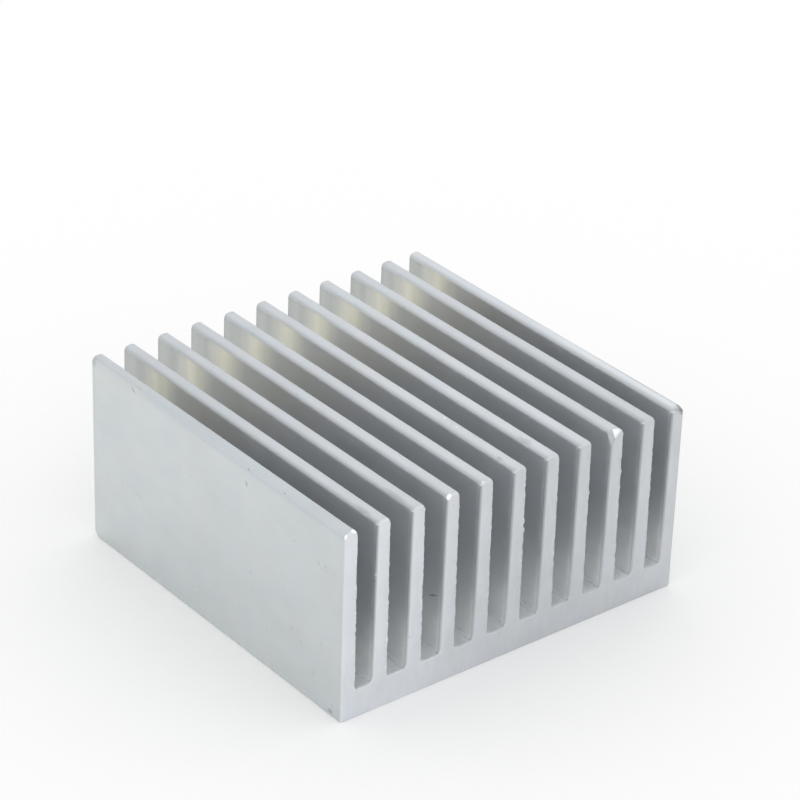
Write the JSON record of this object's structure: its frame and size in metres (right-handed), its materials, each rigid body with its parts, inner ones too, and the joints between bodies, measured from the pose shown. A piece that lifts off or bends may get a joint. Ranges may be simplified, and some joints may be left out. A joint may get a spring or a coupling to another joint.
{
  "type": "heat sink",
  "caption": "Extruded aluminium heat sink with a flat base and a row of tapered upright fins, sawn to length and open at both ends.",
  "frame": {"origin": "middle of the underside of the base", "axes": "+X across the fins, +Y along the fins and slots, +Z from the base to the fin tips"},
  "size_m": [0.04, 0.04, 0.02],
  "materials": {
    "aluminium": "satin, as it leaves the die, with fine lines along the fins and sawn ends"
  },
  "bodies": {
    "root": {"heat_sink": "aluminium"}
  },
  "joints": []
}
